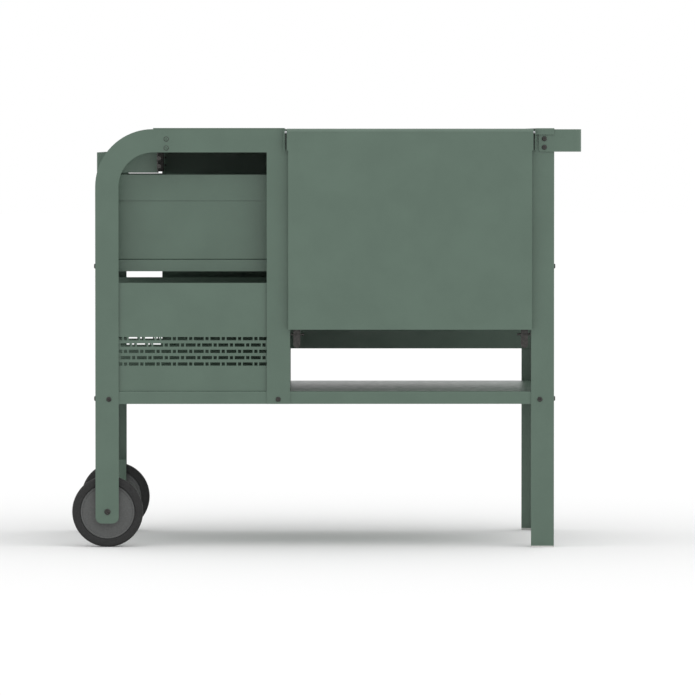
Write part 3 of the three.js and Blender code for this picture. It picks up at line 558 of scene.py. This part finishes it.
def smooth_round(piece, angle=35.0):
    """Shades the curved faces smooth and keeps the square edges crisp."""
    for face in piece.data.polygons:
        face.use_smooth = True
    piece.data.set_sharp_from_angle(angle=math.radians(angle))


folded_sheet("grill_deck")

bowl = merged_copy("kettle_bowl")
bowl_piece = lay(bowl, "kettle_bowl_pressing", "root", ["kettle_bowl"], enamel)
smooth_round(bowl_piece, 40.0)


def wire_grate(node, spacing, wire, braces):
    """Round wires welded under a ring: straight bars one way and a few braces across."""
    low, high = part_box(node)
    radius = (high.x - low.x) / 2 - wire / 2
    level = (low.z + high.z) / 2
    bm = bmesh.new()
    turns = [step / wire_sides * math.tau for step in range(wire_sides)]
    ring = [(radius + wire / 2 * math.cos(turn), wire / 2 * math.sin(turn)) for turn in turns]
    spun(bm, ring + ring[:1], (middle_x, middle_y, level), ring_sides)
    count = int((radius - wire) / spacing)
    runs = [(index * spacing, 0) for index in range(-count, count + 1)]
    runs += [(offset, 1) for offset in braces]
    for offset, across in runs:
        reach = math.sqrt(radius ** 2 - offset ** 2)
        bar_radius = wire * bar_share
        bar = bmesh.ops.create_cone(bm, cap_ends=True, segments=wire_sides, radius1=bar_radius,
                                    radius2=bar_radius, depth=2 * reach)
        turn = Matrix.Rotation(math.pi / 2, 4, "Y" if across else "X")
        drop = (-1 if across else 1) * (wire / 2 - bar_radius)
        shift_x, shift_y = (0, offset) if across else (offset, 0)
        place = (middle_x + shift_x, middle_y + shift_y, level + drop)
        bmesh.ops.transform(bm, matrix=Matrix.Translation(place) @ turn, verts=bar["verts"])
    smooth_round(lay(bm, node + "_wires", "root", [node], wire_steel), 50.0)


wire_grate("cooking_grate", cooking_wire_spacing, wire_diameter, cooking_braces)
wire_grate("charcoal_grate", charcoal_wire_spacing, wire_diameter, charcoal_braces)
damper = merged_copy("vent_damper")
round_over(damper, sharp_edges(damper, convex=True), damper_edge_radius, 1)
lay(damper, "vent_damper_disc", "vent_damper", ["vent_damper"], zinc_steel)

pan_low, pan_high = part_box("ash_pan")
pan_radius = (pan_high.x - pan_low.x) / 2
pan_depth = pan_high.z - pan_low.z
pan_wall = 0.0015
pan_base = 0.070
pan_sides = 64
pan = bmesh.new()
pan_inner_base = pan_base - pan_wall
pan_profile = [(0, 0), (pan_base - 0.004, 0), (pan_base, 0.003),
               (pan_radius - 0.002, pan_depth - 0.004), (pan_radius, pan_depth - 0.003),
               (pan_radius, pan_depth), (pan_radius - pan_wall - 0.001, pan_depth),
               (pan_inner_base, pan_wall + 0.003), (pan_inner_base - 0.003, pan_wall), (0, pan_wall)]
spun(pan, pan_profile, (middle_x, middle_y, pan_low.z), pan_sides)
smooth_round(lay(pan, "ash_pan_pressing", "root", ["ash_pan"], zinc_steel))


# ---- Wheels and axle -----------------------------------------------------------------------------
# Two six-inch wheels turn on a steel rod between the wheel legs and their fork plates. A solid rubber
# tyre with rounded shoulders is moulded round a flat plastic disc with a shallow rim and a boss.

# Its edge tone, lighter than the rubber, is edge wear with a painted highlight.
rubber = surface("tyre_rubber", (400.0, (0.0205, 0.0205, 0.0205, 1.0), (0.0290, 0.0290, 0.0290, 1.0)),
                 (250.0, 0.58, 0.76), (1400.0, 0.00008, 0.5),
                 (0.0006, (0.034, 0.034, 0.034, 1.0)), specular=0.25)
# Its edge tone, lighter than the plastic, is edge wear with a painted highlight.
hub_plastic = surface("hub_plastic", (300.0, (0.074, 0.076, 0.075, 1.0), (0.089, 0.092, 0.090, 1.0)),
                      (250.0, 0.45, 0.6), (1400.0, 0.00005, 0.4),
                      (0.0005, (0.105, 0.107, 0.106, 1.0)), specular=0.4)
wheel_sides = 128
tread_grooves = 2
groove_width = 0.0012
groove_depth = 0.0010


def wheel_profile_piece(node, name, body, profile, material):
    """A wheel part spun from its profile, then laid over onto the axle."""
    low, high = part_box(node)
    centre = (low + high) / 2
    bm = bmesh.new()
    spun(bm, profile + profile[:1], (0, 0, 0), wheel_sides)
    tip = Matrix.Translation((centre.x, centre.y, wheel_centre_z)) @ Matrix.Rotation(math.pi / 2, 4, "X")
    bmesh.ops.transform(bm, matrix=tip, verts=bm.verts)
    smooth_round(lay(bm, name, body, [node], material), 30.0)


tyre_low, tyre_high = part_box("front_tyre")
wheel_radius = (tyre_high.z - tyre_low.z) / 2
wheel_centre_z = (tyre_high.z + tyre_low.z) / 2
tyre_half = (tyre_high.y - tyre_low.y) / 2
hub_radius = 0.0584
shoulder = 0.006
shoulder_steps = 6


def shoulder_arc(turn_from, turn_to, side):
    """The rounded edge between side wall and tread."""
    points = []
    for step in range(shoulder_steps + 1):
        angle = turn_from + (turn_to - turn_from) * step / shoulder_steps
        points.append((wheel_radius - shoulder + shoulder * math.cos(angle),
                       side * (tyre_half - shoulder) + shoulder * math.sin(angle)))
    return points


def tread(side_start, side_end):
    """The tread between its shoulders, with shallow grooves round it."""
    points = []
    for groove in range(tread_grooves):
        along = side_start + (side_end - side_start) * (groove + 1) / (tread_grooves + 1)
        floor_radius = wheel_radius - groove_depth
        points += [(wheel_radius, along - groove_width), (floor_radius, along - groove_width / 2),
                   (floor_radius, along + groove_width / 2), (wheel_radius, along + groove_width)]
    return points


tyre_inner = hub_radius + 0.0003
tyre_outline = [(tyre_inner, -tyre_half + 0.002), (tyre_inner + 0.0012, -tyre_half + 0.0004),
                (tyre_inner + 0.003, -tyre_half)]
tyre_outline += shoulder_arc(-math.pi / 2, 0.0, -1)
tyre_outline += tread(-tyre_half + shoulder, tyre_half - shoulder)
tyre_outline += shoulder_arc(0.0, math.pi / 2, 1)
tyre_outline += [(tyre_inner + 0.003, tyre_half), (tyre_inner + 0.0012, tyre_half - 0.0004),
                 (tyre_inner, tyre_half - 0.002)]

bore = 0.0063
hub_low, hub_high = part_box("front_hub")
hub_half = (hub_high.y - hub_low.y) / 2
disc_half = tyre_half - 0.0035
half_hub = [(bore, hub_half), (0.0150, hub_half), (0.0160, hub_half - 0.001), (0.0175, disc_half + 0.0003),
            (0.0185, disc_half), (0.0535, disc_half), (0.0545, disc_half + 0.0010),
            (hub_radius - 0.0008, disc_half + 0.0015), (hub_radius, disc_half + 0.0007)]
hub_outline = half_hub + [(radius, -along) for radius, along in reversed(half_hub)]

for end in ("front", "rear"):
    wheel = end + "_wheel"
    wheel_profile_piece(end + "_tyre", end + "_tyre_rubber", wheel, tyre_outline, rubber)
    wheel_profile_piece(end + "_hub", end + "_hub_disc", wheel, hub_outline, hub_plastic)

fork_plate_middle = 0.045
fork_plate_thickness = 0.002
fork_end_radius = 0.014
leg_width = 0.050
leg_end = 0.051
fork_top = 0.1597
fork_tongue_width = 0.012
fork_tongue_rise = 0.025
corner_steps = 6


def fork_plate(end, side):
    """The inner plate of a wheel fork, welded by its tongue to the folded side of the leg."""
    low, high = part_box(end + "_arch_frame")
    face = low.y + hinge_tab_reach if side < 0 else high.y - hinge_tab_reach
    start = face - side * (fork_plate_middle + fork_plate_thickness / 2)
    middle = low.x + leg_width / 2
    across = leg_width / 2 - fork_end_radius
    tongue_right = fork_tongue_width - leg_width / 2
    tongue_left = fork_plate_thickness - leg_width / 2
    tongue_top = fork_top + fork_tongue_rise
    outline = [(leg_width / 2, fork_top), (tongue_right, fork_top), (tongue_right, tongue_top),
               (tongue_left, tongue_top), (tongue_left, fork_top), (-leg_width / 2, fork_top)]
    for centre, turn in ((-across, math.pi), (across, 1.5 * math.pi)):
        for step in range(corner_steps + 1):
            angle = turn + step / corner_steps * math.pi / 2
            outline.append((centre + fork_end_radius * math.cos(angle),
                            leg_end + fork_end_radius * (1 + math.sin(angle))))
    bm = bmesh.new()
    plate = bm.faces.new([bm.verts.new((middle + x, start, z)) for x, z in outline])
    grown = bmesh.ops.extrude_face_region(bm, geom=[plate])["geom"]
    moved = [part for part in grown if isinstance(part, bmesh.types.BMVert)]
    bmesh.ops.translate(bm, verts=moved, vec=(0, side * fork_plate_thickness, 0))
    bmesh.ops.recalc_face_normals(bm, faces=bm.faces)
    round_over(bm, sharp_edges(bm, convex=True), cut_edge_radius, 1)
    lay(bm, end + "_wheel_fork_plate", "root", [], green_coat)


fork_plate("front", -1)
fork_plate("rear", 1)
axle = merged_copy("wheel_axle")
round_over(axle, sharp_edges(axle, convex=True), turned_edge_radius, 1)
lay(axle, "wheel_axle_rod", "root", ["wheel_axle"], zinc_steel)


# ---- Bolts ---------------------------------------------------------------------------------------
# Dark button-head socket bolts hold the trays, the handle and the axle. They screw into pressed nuts
# behind the sheet, so only the domed heads show.

bolt_head_height = 0.003
least_head_radius = 0.0054


def bolt_in(node, out):
    """A socket bolt in the place of the CAD bolt; out points from its shank to its head."""
    low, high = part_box(node)
    centre = (low + high) / 2
    along = Vector(out)
    reach = abs((high - low).dot(along)) / 2
    radius = max(sorted(high - low)[1] / 2, least_head_radius)
    seat = centre + along * (reach - bolt_head_height)
    socket_screw(node + "_socket", seat, out, radius, bolt_head_height, 2 * reach - bolt_head_height,
                 dark_steel, nodes=[node])


for end, out in (("front", (0, -1, 0)), ("rear", (0, 1, 0))):
    for place in ("left", "middle", "right"):
        bolt_in(f"{end}_tray_bolt_{place}", out)
    for level in ("lower", "upper"):
        bolt_in(f"{end}_left_side_bolt_{level}", (-1, 0, 0))
        bolt_in(f"{end}_right_side_bolt_{level}", (1, 0, 0))
        bolt_in(f"{end}_handle_bolt_{level}", out)
    bolt_in(f"{end}_axle_bolt", out)
